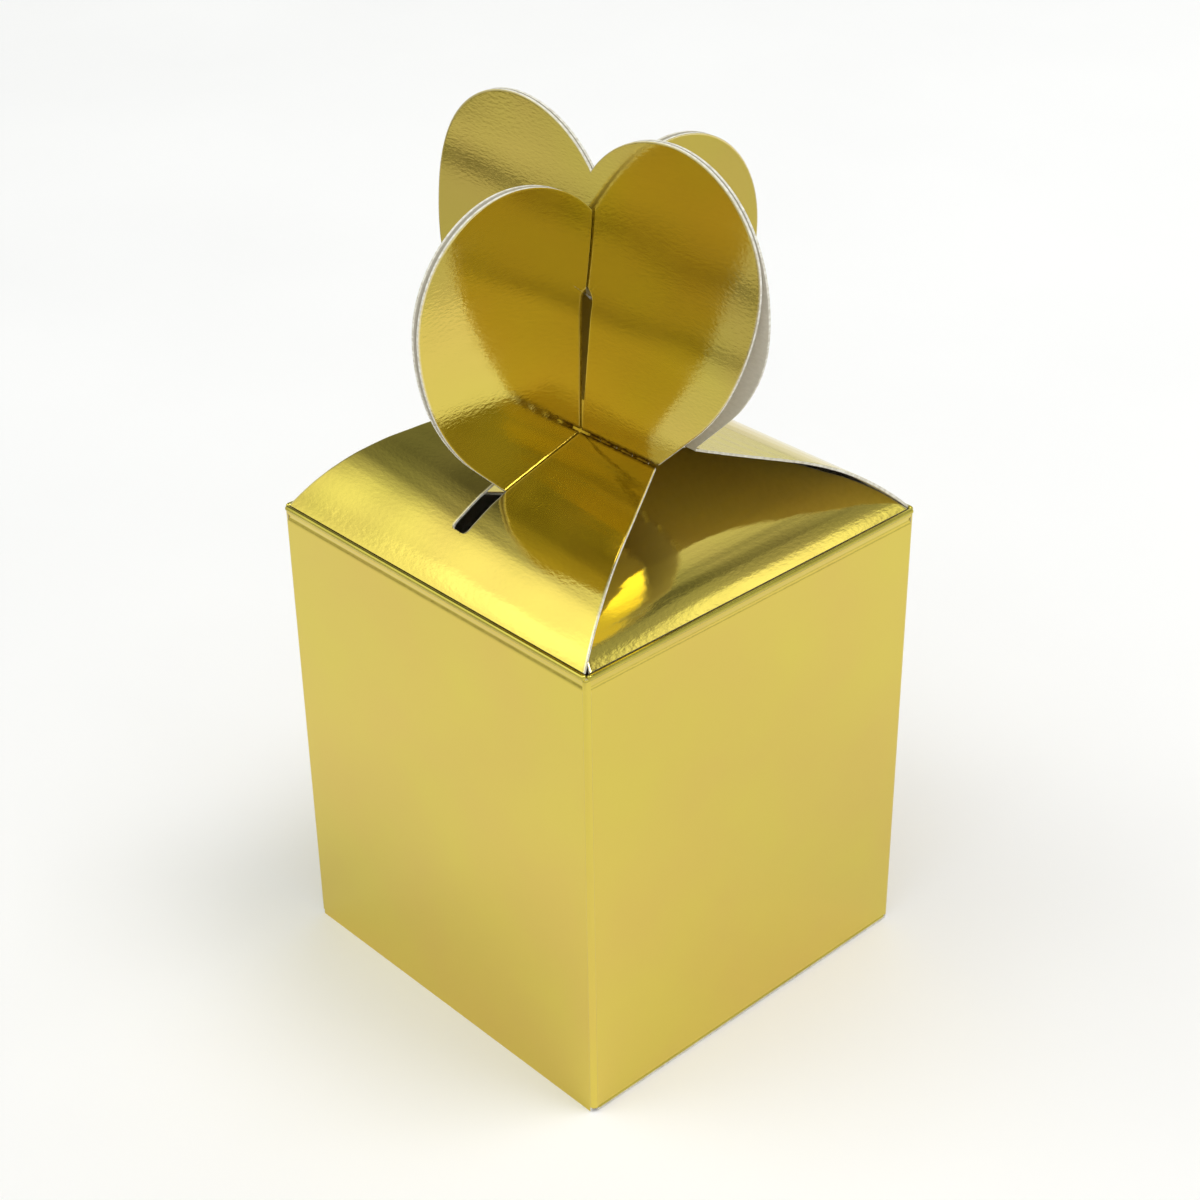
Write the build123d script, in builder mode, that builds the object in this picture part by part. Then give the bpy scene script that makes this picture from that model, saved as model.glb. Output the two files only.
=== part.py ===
"""Heart-top favor box, folded from one sheet of foil-faced card.

A square sleeve stands on a tuck-in bottom. Four roof flaps arch inwards from the walls, and each
carries an upright heart. The upper pair (front and back) has a closed slot that runs from the roof
into the heart; the lower pair (right and left) stands in that slot, with a slit from its notch that
takes the upper hearts. Every panel is one piece, and every score line is a small round bead.

Frame: +Z up, the origin at the middle of the underside, the front wall facing -Y. Millimetres, degrees.
"""

import os
from math import asin, cos, degrees, radians, sin, tan

from build123d import *

os.makedirs("parts", exist_ok=True)

# Sleeve
BODY = 65.0  # outside width, square
WALL_HEIGHT = 75.0  # floor to the score line at the top of the walls
CARD = 0.4  # thickness of the card
CORNER_RADIUS = 0.8  # outside radius of the upright corner folds
CORNER_GAP = 0.1  # corner folds stop this far below the top score
GLUE_WIDTH = 12.0
GLUE_INSET = 4.0  # glue flap stops this far from the top and bottom of the wall
GLUE_ROUND = 4.0

# Score lines
CREASE_SWELL = 0.25  # how far the score along the top of a wall stands out of the card
FOLD_SWELL = 0.1  # the same for the finer folds at the hearts and at the bottom
HINGE_GAP = 0.1  # between a score bead and the panel that turns on it
CREASE_SETBACK = 0.3  # a bead stops this far from the bead that crosses its end

# Roof flaps: each leaves the wall steeply, bends over an arc, then runs straight to the heart fold
UPPER_BEND = 32.0  # front and back: radius of the bend, at the middle of the card
UPPER_START_ANGLE = 50.0  # above horizontal
UPPER_END_ANGLE = 16.5
UPPER_FOLD_OUT = 3.6  # heart fold to the middle of the box
UPPER_BASE_INSET = 0.7  # side edge to the box corner, at the wall
LOWER_BEND = 24.0  # right and left
LOWER_START_ANGLE = 36.0
LOWER_END_ANGLE = 9.0
LOWER_BASE_INSET = 1.5
LOWER_PAIR_GAP = 0.4  # between the two lower heart folds
ROOF_GAP = 0.3  # least room between a lower roof and the upper roof over it

# Hearts, in the plane of the card, measured from the heart fold
FOLD_LENGTH = 31.6
HEART_INSET = 0.7  # widest point to the line of the box's side, as cut from a strip as wide as the wall
WIDEST_UP = 28.2
LOBE_RADIUS = 16.8
NOTCH_UP = 37.6
FLANK_ANGLE = 44.5  # straight flank at the foot, above the fold line
PAIR_GAP = 0.6  # between the two upper hearts where they lean together at the top
BRIDGE = 2.2  # card bridge left between two cuts of the perforated fold
PERFORATION = 1.0  # cut between two bridges

# Slot of the upper pair and slit of the lower pair
SLOT_START = 6.6  # wall score to the outer end of the slot, seen from above
SLOT_UP = 21.5  # upper end of the slot above the heart fold
SLOT_CLEAR = 0.75  # on each side of the lower hearts that stand in the slot
SLOT_ROUND = 0.9  # corners at both ends of the slot
SLIT_OVERLAP = 7.0  # the slit reaches this far below the upper end of the slot
SLIT_CLEAR = 0.25  # on each side of the upper hearts that stand in the slit
SLIT_ROUND = 1.2

# Bottom
PANEL_GAP = 0.1  # between the bottom panel and what lies on it
TUCK_GAP = 0.3  # tuck fold to the front wall
TUCK_HEIGHT = 14.0
TUCK_ANGLE = 14.0  # inwards from upright
TUCK_INSET = 1.0  # tuck flap to each side wall
TUCK_ROUND = 8.0
DUST_REACH = 25.0  # dust flap from its fold towards the middle
DUST_CLEAR = 1.2  # dust flap to the tuck fold and to the bottom fold
DUST_ROUND = 4.0

# Values that follow from the sizes above
CREASE_RADIUS = CARD / 2 + CREASE_SWELL
FOLD_RADIUS = CARD / 2 + FOLD_SWELL
HINGE = (BODY - CARD) / 2  # middle of a wall's card from the middle of the box
INSIDE = BODY / 2 - CARD
DUST_HEIGHT = CARD + PANEL_GAP + FOLD_RADIUS  # height of the dust folds
TUCK_Y = -(INSIDE - TUCK_GAP - FOLD_RADIUS)
HEART_WIDTH = BODY - 2 * HEART_INSET
PEAK_UP = WIDEST_UP + LOBE_RADIUS
UPPER_LEAN = degrees(asin((UPPER_FOLD_OUT - CARD / 2 - PAIR_GAP / 2) / PEAK_UP))
LOWER_FOLD_OUT = FOLD_RADIUS + LOWER_PAIR_GAP / 2
SLOT_WIDTH = 2 * (LOWER_FOLD_OUT + CARD / 2 + SLOT_CLEAR)
BEAD_END = HINGE - CREASE_RADIUS - CREASE_SETBACK
TURNS = {"front": 0, "right": 90, "back": 180, "left": 270}
UPPER_ROOF = (UPPER_BEND, UPPER_START_ANGLE, UPPER_END_ANGLE, UPPER_FOLD_OUT)
LOWER_ROOF = (LOWER_BEND, LOWER_START_ANGLE, LOWER_END_ANGLE, LOWER_FOLD_OUT)


def fold_height(radius, start_angle, end_angle, fold_out):
    """Height of a heart fold: the rise of the roof's bend and of its straight run."""
    start, end = radians(start_angle), radians(end_angle)
    bend_run = radius * (sin(start) - sin(end))
    bend_rise = radius * (cos(end) - cos(start))
    return WALL_HEIGHT + bend_rise + (HINGE - fold_out - bend_run) * tan(end)


UPPER_FOLD_Z = fold_height(*UPPER_ROOF)
LOWER_FOLD_Z = fold_height(*LOWER_ROOF)


def outward(turn):
    return Vector(sin(radians(turn)), -cos(radians(turn)), 0)


def along(turn):
    return Vector(cos(radians(turn)), sin(radians(turn)), 0)


def section_plane(turn):
    """Upright section across a wall: x runs inwards from the middle of the box, y runs up."""
    return Plane(origin=(0, 0, 0), x_dir=outward(turn) * -1, z_dir=along(turn))


def plan_plane(turn):
    """The floor, turned so that x runs along the wall and y runs inwards."""
    return Plane(origin=(0, 0, 0), x_dir=along(turn), z_dir=(0, 0, 1))


def sheet_plane(turn, out, height, lean):
    """Plane of a standing sheet: x runs along its foot, y up the sheet, which leans inwards."""
    foot = outward(turn) * out + Vector(0, 0, height)
    facing = outward(turn) * cos(radians(lean)) + Vector(0, 0, sin(radians(lean)))
    return Plane(origin=foot, x_dir=along(turn), z_dir=facing)


def save(piece, name):
    piece.part.label = name
    export_step(piece.part, f"parts/{name}.step")


def bead(name, turn, out, height, radius, half_length):
    """Score bead: a thin round bar along a fold, which the panel turns on."""
    with BuildPart() as crease:
        with BuildSketch(section_plane(turn)):
            with Locations((-out, height)):
                Circle(radius)
        extrude(amount=half_length, both=True)
    save(crease, name)


def wall(name, turn, foot, foot_radius):
    """Wall panel from its foot to the top score, seated on the beads at both ends."""
    with BuildPart() as panel:
        with BuildSketch(section_plane(turn)):
            with Locations((-BODY / 2, foot)):
                Rectangle(CARD, WALL_HEIGHT - foot, align=(Align.MIN, Align.MIN))
            with Locations((-HINGE, WALL_HEIGHT)):
                Circle(CREASE_RADIUS, mode=Mode.SUBTRACT)
            if foot_radius:
                with Locations((-HINGE, foot)):
                    Circle(foot_radius, mode=Mode.SUBTRACT)
        extrude(amount=BODY / 2 - CORNER_RADIUS, both=True)
    save(panel, name)


# Sleeve: four walls, the rounded fold at each corner, and the glue flap inside the back wall
wall("front_wall", TURNS["front"], 0, 0)
wall("back_wall", TURNS["back"], FOLD_RADIUS, FOLD_RADIUS)
wall("right_wall", TURNS["right"], DUST_HEIGHT, FOLD_RADIUS)
wall("left_wall", TURNS["left"], DUST_HEIGHT, FOLD_RADIUS)

corner_names = ["front_right_corner", "back_right_corner", "back_left_corner", "front_left_corner"]
corner_middle = BODY / 2 - CORNER_RADIUS
for corner_name, turn in zip(corner_names, TURNS.values()):
    with BuildPart() as corner:
        with BuildSketch(plan_plane(turn).offset(DUST_HEIGHT)):
            with Locations((corner_middle, -corner_middle)):
                Circle(CORNER_RADIUS)
                Circle(CORNER_RADIUS - CARD, mode=Mode.SUBTRACT)
                Rectangle(BODY, BODY, align=(Align.MIN, Align.MAX), mode=Mode.INTERSECT)
        extrude(amount=WALL_HEIGHT - CREASE_RADIUS - CORNER_GAP - DUST_HEIGHT)
    save(corner, corner_name)

with BuildPart() as glue_flap:
    with BuildSketch(Plane.XY.offset(GLUE_INSET)):
        with Locations((-corner_middle, INSIDE)):
            Rectangle(GLUE_WIDTH, CARD, align=(Align.MIN, Align.MAX))
    extrude(amount=WALL_HEIGHT - 2 * GLUE_INSET)
    fillet(glue_flap.edges().filter_by(Axis.Y).group_by(Axis.X)[-1], GLUE_ROUND)
save(glue_flap, "glue_flap")

for side, turn in TURNS.items():
    bead(f"{side}_roof_crease", turn, HINGE, WALL_HEIGHT, CREASE_RADIUS, BEAD_END)


def roof_line(radius, start_angle, end_angle, fold_out, drop):
    """Section of a roof flap: the bend and the straight run, drawn `drop` below the middle of the card."""
    start, end = radians(start_angle), radians(end_angle)
    first = (-HINGE + drop * sin(start), WALL_HEIGHT - drop * cos(start))
    bend = JernArc(first, (cos(start), sin(start)), radius - drop, end_angle - start_angle)
    straight = (HINGE - fold_out - radius * (sin(start) - sin(end))) / cos(end)
    return bend, PolarLine(bend @ 1, straight, end_angle)


def roof(name, turn, shape, base_inset, slotted):
    """Roof flap: an arched sheet, cut to its tapering outline, from the wall score to the heart fold."""
    fold_out = shape[-1]
    base, tip = BODY / 2 - base_inset, FOLD_LENGTH / 2
    taper = (base - tip) / (HINGE - fold_out)
    beyond = 2 * CARD
    with BuildPart() as flap:
        with BuildSketch(section_plane(turn)):
            with BuildLine():
                roof_line(*shape, 0)
            trace(line_width=CARD)
            with Locations((-HINGE, WALL_HEIGHT)):
                Circle(CREASE_RADIUS + HINGE_GAP, mode=Mode.SUBTRACT)
            with Locations((-fold_out, fold_height(*shape))):
                Circle(FOLD_RADIUS, mode=Mode.SUBTRACT)
        extrude(amount=BODY / 2, both=True)
        with BuildSketch(plan_plane(turn)):
            with BuildLine():
                outer, inner = base + taper * beyond, tip - taper * beyond
                Polyline(
                    (-outer, -HINGE - beyond),
                    (outer, -HINGE - beyond),
                    (inner, -fold_out + beyond),
                    (-inner, -fold_out + beyond),
                    close=True,
                )
            make_face()
        extrude(amount=WALL_HEIGHT + BODY, mode=Mode.INTERSECT)
        if slotted:
            with BuildSketch(plan_plane(turn)):
                with Locations((0, -HINGE + SLOT_START)):
                    RectangleRounded(SLOT_WIDTH, BODY, SLOT_ROUND, align=(Align.CENTER, Align.MIN))
            extrude(amount=WALL_HEIGHT + BODY, mode=Mode.SUBTRACT)
        else:
            for over in ("front", "back"):
                with BuildSketch(section_plane(TURNS[over])):
                    with BuildLine():
                        drop = CARD / 2 + ROOF_GAP
                        bend, run = roof_line(*UPPER_ROOF, drop)
                        first, last, top = bend @ 0, run @ 1, UPPER_FOLD_Z + CARD
                        Polyline(first, (-BODY / 2, first.Y), (-BODY / 2, top), (last.X, top), last)
                    make_face()
                extrude(amount=BODY / 2, both=True, mode=Mode.SUBTRACT)
    save(flap, name)


def heart_outline():
    """Half of a heart: straight flank, flank arc, round lobe, and a shoulder arc to the notch."""
    turn = radians(90 - FLANK_ANGLE)
    run, rise = (HEART_WIDTH - FOLD_LENGTH) / 2, WIDEST_UP
    flank_radius = (rise * sin(turn) - run * cos(turn)) / (1 - cos(turn))
    foot = (FOLD_LENGTH / 2, 0)
    flank_middle = (HEART_WIDTH / 2 - flank_radius, WIDEST_UP)
    flank = CenterArc(flank_middle, flank_radius, FLANK_ANGLE - 90, 90 - FLANK_ANGLE)
    lobe = CenterArc((HEART_WIDTH / 2 - LOBE_RADIUS, WIDEST_UP), LOBE_RADIUS, 0, 90)
    TangentArc(lobe @ 1, (0, NOTCH_UP), tangent=(-1, 0))
    Polyline((0, 0), foot, flank @ 0)


def upper_heart(name, turn):
    """Heart of the upper pair: leans in to meet its twin at the top, with the slot up its middle."""
    with BuildPart() as heart:
        with BuildSketch(sheet_plane(turn, UPPER_FOLD_OUT, UPPER_FOLD_Z, UPPER_LEAN)):
            with BuildLine():
                heart_outline()
                mirror(about=Plane.YZ)
            make_face()
            with Locations((0, SLOT_UP)):
                from_above = (Align.CENTER, Align.MAX)
                RectangleRounded(SLOT_WIDTH, PEAK_UP, SLOT_ROUND, align=from_above, mode=Mode.SUBTRACT)
        extrude(amount=CARD / 2, both=True)
        with BuildSketch(section_plane(turn)):
            with Locations((-UPPER_FOLD_OUT, UPPER_FOLD_Z)):
                Circle(FOLD_RADIUS + HINGE_GAP)
        extrude(amount=BODY / 2, both=True, mode=Mode.SUBTRACT)
    save(heart, name)


def slit_half_width(height):
    """Half of the slit's width: the outer faces of the upper hearts at that height, and the clearance."""
    lean = radians(UPPER_LEAN)
    return UPPER_FOLD_OUT - (height - UPPER_FOLD_Z) * tan(lean) + CARD / 2 / cos(lean) + SLIT_CLEAR


def lower_heart(name, turn):
    """Heart of the lower pair: upright, with the slit from its notch down past the end of the upper slot."""
    slit_foot = UPPER_FOLD_Z + SLOT_UP * cos(radians(UPPER_LEAN)) - SLIT_OVERLAP
    slit_top = LOWER_FOLD_Z + PEAK_UP
    with BuildPart() as heart:
        with BuildSketch(sheet_plane(turn, LOWER_FOLD_OUT, LOWER_FOLD_Z, 0)):
            with BuildLine():
                heart_outline()
                mirror(about=Plane.YZ)
            make_face()
            with BuildSketch(mode=Mode.PRIVATE) as slit:
                with BuildLine():
                    foot, top = slit_half_width(slit_foot), slit_half_width(slit_top)
                    Polyline(
                        (-foot, slit_foot - LOWER_FOLD_Z),
                        (foot, slit_foot - LOWER_FOLD_Z),
                        (top, slit_top - LOWER_FOLD_Z),
                        (-top, slit_top - LOWER_FOLD_Z),
                        close=True,
                    )
                make_face()
                fillet(slit.vertices().group_by(Axis.Y)[0], SLIT_ROUND)
            add(slit.sketch, mode=Mode.SUBTRACT)
        extrude(amount=CARD / 2, both=True)
        with BuildSketch(section_plane(turn)):
            with Locations((-LOWER_FOLD_OUT, LOWER_FOLD_Z)):
                Circle(FOLD_RADIUS + HINGE_GAP)
        extrude(amount=BODY / 2, both=True, mode=Mode.SUBTRACT)
    save(heart, name)


def heart_fold(name, turn, out, height):
    """Perforated fold at the foot of a heart: a row of short card bridges on each side of the middle."""
    pitch = BRIDGE + PERFORATION
    first = SLOT_WIDTH / 2 + PERFORATION
    count = int((FOLD_LENGTH / 2 - first) // pitch)
    starts = [first + pitch * step for step in range(count)]
    starts += [-start - BRIDGE for start in starts]
    with BuildPart() as bridges:
        with BuildSketch(*[section_plane(turn).offset(start) for start in starts]):
            with Locations((-out, height)):
                Circle(FOLD_RADIUS)
        extrude(amount=BRIDGE)
    save(bridges, name)


# Roof flaps, heart folds and hearts
for side in ("front", "back"):
    turn = TURNS[side]
    roof(f"{side}_roof", turn, UPPER_ROOF, UPPER_BASE_INSET, True)
    heart_fold(f"{side}_heart_fold", turn, UPPER_FOLD_OUT, UPPER_FOLD_Z)
    upper_heart(f"{side}_heart", turn)
for side in ("right", "left"):
    turn = TURNS[side]
    roof(f"{side}_roof", turn, LOWER_ROOF, LOWER_BASE_INSET, False)
    heart_fold(f"{side}_heart_fold", turn, LOWER_FOLD_OUT, LOWER_FOLD_Z)
    lower_heart(f"{side}_heart", turn)

# Bottom: the panel hangs on the back wall, its tuck flap stands inside the front wall
bead("bottom_crease", TURNS["back"], HINGE, FOLD_RADIUS, FOLD_RADIUS, BEAD_END)
bead("tuck_crease", TURNS["front"], -TUCK_Y, FOLD_RADIUS, FOLD_RADIUS, INSIDE - TUCK_INSET)
for side in ("right", "left"):
    bead(f"{side}_dust_crease", TURNS[side], HINGE, DUST_HEIGHT, FOLD_RADIUS, BEAD_END)

with BuildPart() as bottom_panel:
    with BuildSketch(Plane.YZ):
        with Locations((TUCK_Y, 0)):
            Rectangle(HINGE - TUCK_Y, CARD, align=(Align.MIN, Align.MIN))
        with Locations((TUCK_Y, FOLD_RADIUS)):
            Circle(FOLD_RADIUS, mode=Mode.SUBTRACT)
        with Locations((HINGE, FOLD_RADIUS)):
            Circle(FOLD_RADIUS + HINGE_GAP, mode=Mode.SUBTRACT)
    extrude(amount=HINGE, both=True)
save(bottom_panel, "bottom_panel")

with BuildPart() as tuck_flap:
    with BuildSketch(sheet_plane(TURNS["front"], -TUCK_Y, FOLD_RADIUS, TUCK_ANGLE)) as tuck_outline:
        Rectangle(2 * (INSIDE - TUCK_INSET), TUCK_HEIGHT, align=(Align.CENTER, Align.MIN))
        fillet(tuck_outline.vertices().group_by(Axis.Y)[-1], TUCK_ROUND)
    extrude(amount=CARD / 2, both=True)
    with BuildSketch(Plane.YZ):
        with Locations((TUCK_Y, FOLD_RADIUS)):
            Circle(FOLD_RADIUS + HINGE_GAP)
    extrude(amount=BODY / 2, both=True, mode=Mode.SUBTRACT)
save(tuck_flap, "tuck_flap")

with BuildPart() as right_dust_flap:
    with BuildSketch(Plane.XY.offset(DUST_HEIGHT - CARD / 2)) as dust_outline:
        with BuildLine():
            dust_front, dust_back = TUCK_Y + FOLD_RADIUS + DUST_CLEAR, HINGE - DUST_CLEAR
            Polyline(
                (HINGE, dust_front),
                (HINGE, dust_back),
                (HINGE - DUST_REACH, dust_back - DUST_REACH),
                (HINGE - DUST_REACH, dust_front),
                close=True,
            )
        make_face()
        fillet(dust_outline.vertices().group_by(Axis.X)[0], DUST_ROUND)
    extrude(amount=CARD)
    with BuildSketch(section_plane(TURNS["right"])):
        with Locations((-HINGE, DUST_HEIGHT)):
            Circle(FOLD_RADIUS + HINGE_GAP)
    extrude(amount=BODY / 2, both=True, mode=Mode.SUBTRACT)
save(right_dust_flap, "right_dust_flap")

with BuildPart() as left_dust_flap:
    mirror(right_dust_flap.part, about=Plane.YZ)
save(left_dust_flap, "left_dust_flap")
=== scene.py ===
from math import asin, cos, pi, radians, sin, tan

import bpy
import numpy as np
from mathutils import Matrix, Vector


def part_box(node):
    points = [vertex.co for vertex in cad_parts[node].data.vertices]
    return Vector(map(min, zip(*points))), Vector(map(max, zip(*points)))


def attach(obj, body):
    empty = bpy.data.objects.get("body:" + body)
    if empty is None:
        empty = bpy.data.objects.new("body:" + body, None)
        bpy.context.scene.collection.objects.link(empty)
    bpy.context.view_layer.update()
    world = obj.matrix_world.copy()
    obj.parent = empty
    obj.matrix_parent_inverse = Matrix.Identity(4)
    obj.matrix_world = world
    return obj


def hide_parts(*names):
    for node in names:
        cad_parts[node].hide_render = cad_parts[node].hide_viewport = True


# Heart-top favor box, cut, scored and folded from one sheet of card with mirror-gold foil outside.
# The script follows the blank as it is folded up: sleeve, roof scores, roof flaps, hearts, bottom.
# Metres and radians; +Z up and the front wall facing -Y, as in the CAD frame.
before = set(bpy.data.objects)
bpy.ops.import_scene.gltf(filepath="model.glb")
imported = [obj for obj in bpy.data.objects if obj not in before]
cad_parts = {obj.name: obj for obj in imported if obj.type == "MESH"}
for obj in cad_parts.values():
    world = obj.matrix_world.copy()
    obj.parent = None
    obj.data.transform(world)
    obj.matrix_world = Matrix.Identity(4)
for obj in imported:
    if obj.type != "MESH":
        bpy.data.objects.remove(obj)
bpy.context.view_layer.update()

# Sleeve walls: four flat panels of folding-box card, gold foil laminated outside and bare white board
# inside. They are scored in one blank, stand between rounded corner folds and carry the roof scores.
TURNS = {"front": 0.0, "right": pi / 2, "back": pi, "left": 3 * pi / 2}
wall_low, wall_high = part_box("front_wall")
CARD = wall_high.y - wall_low.y
HINGE = -(wall_low.y + wall_high.y) / 2  # middle of a wall's card from the middle of the box
WALL_HALF = wall_high.x  # half of a wall between its corner folds

FOIL_LIGHT = (0.70, 0.568, 0.104, 1)
FOIL_DEEP = (0.70, 0.532, 0.112, 1)
FOIL_DRIFT = 0.022  # size of the patches over which the foil's tone drifts
TONE_RANGE = (0.35, 0.65)  # part of a noise's range over which one tone turns to another
POLISH_PATCH = 0.0035
POLISH = (0.07, 0.13)  # roughness of the smoothest and the dullest patches
POLISH_RANGE = (0.3, 0.7)  # part of a noise's range over which the polish goes
GRAIN_LENGTH = 0.0009  # fibre grain of the board, which presses through the foil
GRAIN_WIDTH = 0.0004
GRAIN_DEPTH = 1.2e-5
SCUFF_WIDTH = 0.00035  # foil is scuffed down to the board this close to a cut edge
SCUFF_STRENGTH = 1.0
CRACK_SHADE_WIDTH = 0.0006  # and cracked, with painted shade of the fold's crease, this close to a perforated fold
CRACK_SHADE_STRENGTH = 2.2  # over 1, so that the crack and its painted shade are unbroken right at the fold
CRACK_SHADE_BROWN = (0.09, 0.045, 0.012, 1)
CRACK_SHADE_GRAIN = 0.0008
BOARD_MATT = 0.9
BOARD_LIGHT = (0.79, 0.74, 0.65, 1)
BOARD_DEEP = (0.73, 0.68, 0.59, 1)
FIBRE = 0.0005
FIBRE_DEPTH = 8e-6
CUT_LIGHT = (0.85, 0.82, 0.75, 1)
CUT_DEEP = (0.62, 0.57, 0.48, 1)
ROLL_WIDTH = 0.0002  # the foil side rolls down to a cut edge over this distance
REAL_EDGE = radians(50.0)  # faces that meet more sharply than this keep a sharp edge
FAR_OFF = 1.0  # distance given to places that have no worn edge or fold near
WALL_COCKLE = 0.0022  # slope of the unevenness of a wall, in radians
WALL_WAVES = (0.021, 0.033, 0.052)
FOLD_HOLD = 6  # power with which the unevenness dies away towards the folds that hold a wall flat
PRESS_DEPTH = 0.00017  # the die presses a shallow line into the wall under the roof score
PRESS_BELOW = 0.0009
PRESS_WIDTH = 0.00045
PRESS_ZONE = 0.003  # the mesh is finer this far down from the top
WALL_COLUMNS = 80
WALL_ROWS = 80
PRESS_ROWS = 34


def add_node(tree, kind, **inputs):
    """New shader node of that kind, with the named inputs set."""
    node = tree.nodes.new(kind)
    for socket, value in inputs.items():
        node.inputs[socket.replace("_", " ")].default_value = value
    return node


def new_finish(name, roughness, metallic, coordinates="UV"):
    """Empty node material with one principled shader, and the coordinates it reads: its place on the blank,
    unless others are named."""
    finish = bpy.data.materials.new(name)
    finish.use_nodes = True
    tree = finish.node_tree
    shader = tree.nodes["Principled BSDF"]
    shader.inputs["Roughness"].default_value = roughness
    shader.inputs["Metallic"].default_value = metallic
    place = add_node(tree, "ShaderNodeTexCoord").outputs[coordinates]
    return finish, tree, shader, place


def blank_noise(tree, place, size, detail):
    """Noise on the blank with features of that (along, up) size in metres."""
    stretch = add_node(tree, "ShaderNodeMapping", Scale=(1 / size[0], 1 / size[1], 1))
    noise = add_node(tree, "ShaderNodeTexNoise", Scale=1.0, Detail=detail)
    tree.links.new(place, stretch.inputs["Vector"])
    tree.links.new(stretch.outputs["Vector"], noise.inputs["Vector"])
    return noise.outputs["Fac"]


def ranged(tree, value, source, target, smooth=False):
    """Value that goes from the first to the last of target as another crosses source, evenly or smoothly."""
    scale = add_node(tree, "ShaderNodeMapRange")
    for socket, end in zip(("From Min", "From Max", "To Min", "To Max"), (*source, *target)):
        scale.inputs[socket].default_value = end
    if smooth:
        scale.interpolation_type = "SMOOTHSTEP"
    tree.links.new(value, scale.inputs["Value"])
    return scale.outputs["Result"]


def two_tone(tree, noise, deep, light):
    """Colour that runs from deep to light over the middle of a noise's range."""
    ramp = add_node(tree, "ShaderNodeValToRGB")
    for stop, position, colour in zip(ramp.color_ramp.elements, TONE_RANGE, (deep, light)):
        stop.position = position
        stop.color = colour
    tree.links.new(noise, ramp.inputs["Fac"])
    return ramp.outputs["Color"]


def press_relief(tree, shader, noise, depth):
    """Relief of that depth in metres on the shader's normal."""
    bump = add_node(tree, "ShaderNodeBump", Strength=1.0, Distance=depth)
    tree.links.new(noise, bump.inputs["Height"])
    tree.links.new(bump.outputs["Normal"], shader.inputs["Normal"])


def wear_and_shade_line(tree, tone, distance, width, strength, noise, colour):
    """Tone that turns to another colour within that width of the line from which a distance attribute is
    measured: by strength at the line, and as unevenly as the noise."""
    from_line = add_node(tree, "ShaderNodeAttribute")
    from_line.attribute_name = distance
    near = ranged(tree, from_line.outputs["Fac"], (0.0, width), (strength, 0.0))
    broken = add_node(tree, "ShaderNodeMath")
    broken.operation = "MULTIPLY"
    broken.use_clamp = True
    tree.links.new(near, broken.inputs[0])
    tree.links.new(noise, broken.inputs[1])
    blend = add_node(tree, "ShaderNodeMix")
    blend.data_type = "RGBA"
    colours = [socket for socket in blend.inputs if socket.type == "RGBA"]
    colours[1].default_value = colour
    tree.links.new(broken.outputs["Value"], blend.inputs["Factor"])
    tree.links.new(tone, colours[0])
    return [socket for socket in blend.outputs if socket.type == "RGBA"][0]


def foil_finish(name, light, deep, polish, grain_depth, drift):
    """Mirror foil on board: its tone and polish drift, fibres press through along the blank, a broken pale
    line shows where it is scuffed beside a cut edge, and a ragged brown one beside a perforated fold, where
    the foil is cracked and painted with the shade of the fold's crease."""
    finish, tree, shader, place = new_finish(name, polish[0], 1.0)
    tone = two_tone(tree, blank_noise(tree, place, (drift, drift), 2.0), deep, light)
    patch = blank_noise(tree, place, (2 * POLISH_PATCH, POLISH_PATCH), 3.0)
    tree.links.new(ranged(tree, patch, POLISH_RANGE, polish), shader.inputs["Roughness"])
    grain = blank_noise(tree, place, (GRAIN_LENGTH, GRAIN_WIDTH), 3.0)
    press_relief(tree, shader, grain, grain_depth)

    ragged = blank_noise(tree, place, (CRACK_SHADE_GRAIN, CRACK_SHADE_GRAIN), 3.0)
    tone = wear_and_shade_line(tree, tone, "edge_distance", SCUFF_WIDTH, SCUFF_STRENGTH, grain, CUT_LIGHT)
    # painted shade: a ragged brown line along each perforated fold stands for the crease's shade, over
    # cracked foil
    tone = wear_and_shade_line(tree, tone, "fold_distance", CRACK_SHADE_WIDTH, CRACK_SHADE_STRENGTH, ragged, CRACK_SHADE_BROWN)
    tree.links.new(tone, shader.inputs["Base Color"])
    return finish


def board_finish(name, light, deep):
    """Bare white board: short fibres lying along the blank, matt."""
    finish, tree, shader, place = new_finish(name, BOARD_MATT, 0.0)
    fibres = blank_noise(tree, place, (2 * FIBRE, FIBRE), 4.0)
    tree.links.new(two_tone(tree, fibres, deep, light), shader.inputs["Base Color"])
    press_relief(tree, shader, fibres, FIBRE_DEPTH)
    return finish


foil = foil_finish("gold_foil", FOIL_LIGHT, FOIL_DEEP, POLISH, GRAIN_DEPTH, FOIL_DRIFT)
board = board_finish("white_board", BOARD_LIGHT, BOARD_DEEP)
cut_board = board_finish("cut_edge", CUT_LIGHT, CUT_DEEP)


def new_piece(name, vertices, faces, finishes, finish_of_face, blank, edge, fold):
    """Mesh object at the origin, smooth but for its real edges, with its place on the blank as its UV map and
    its distances from a cut edge and from a perforated fold as attributes."""
    mesh = bpy.data.meshes.new(name)
    mesh.from_pydata(vertices.tolist(), [], faces)
    corner = np.empty(len(mesh.loops), dtype=np.int32)
    mesh.loops.foreach_get("vertex_index", corner)
    mesh.uv_layers.new(name="blank").data.foreach_set("uv", blank[corner].astype(np.float32).ravel())
    for distance, values in (("edge_distance", edge), ("fold_distance", fold)):
        mesh.attributes.new(distance, "FLOAT", "POINT").data.foreach_set("value", values.astype(np.float32))
    for finish in finishes:
        mesh.materials.append(finish)
    mesh.polygons.foreach_set("material_index", np.asarray(finish_of_face, dtype=np.int32))
    mesh.shade_smooth()
    mesh.set_sharp_from_angle(angle=REAL_EDGE)
    mesh.update()
    piece = bpy.data.objects.new(name, mesh)
    bpy.context.scene.collection.objects.link(piece)
    return piece


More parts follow.
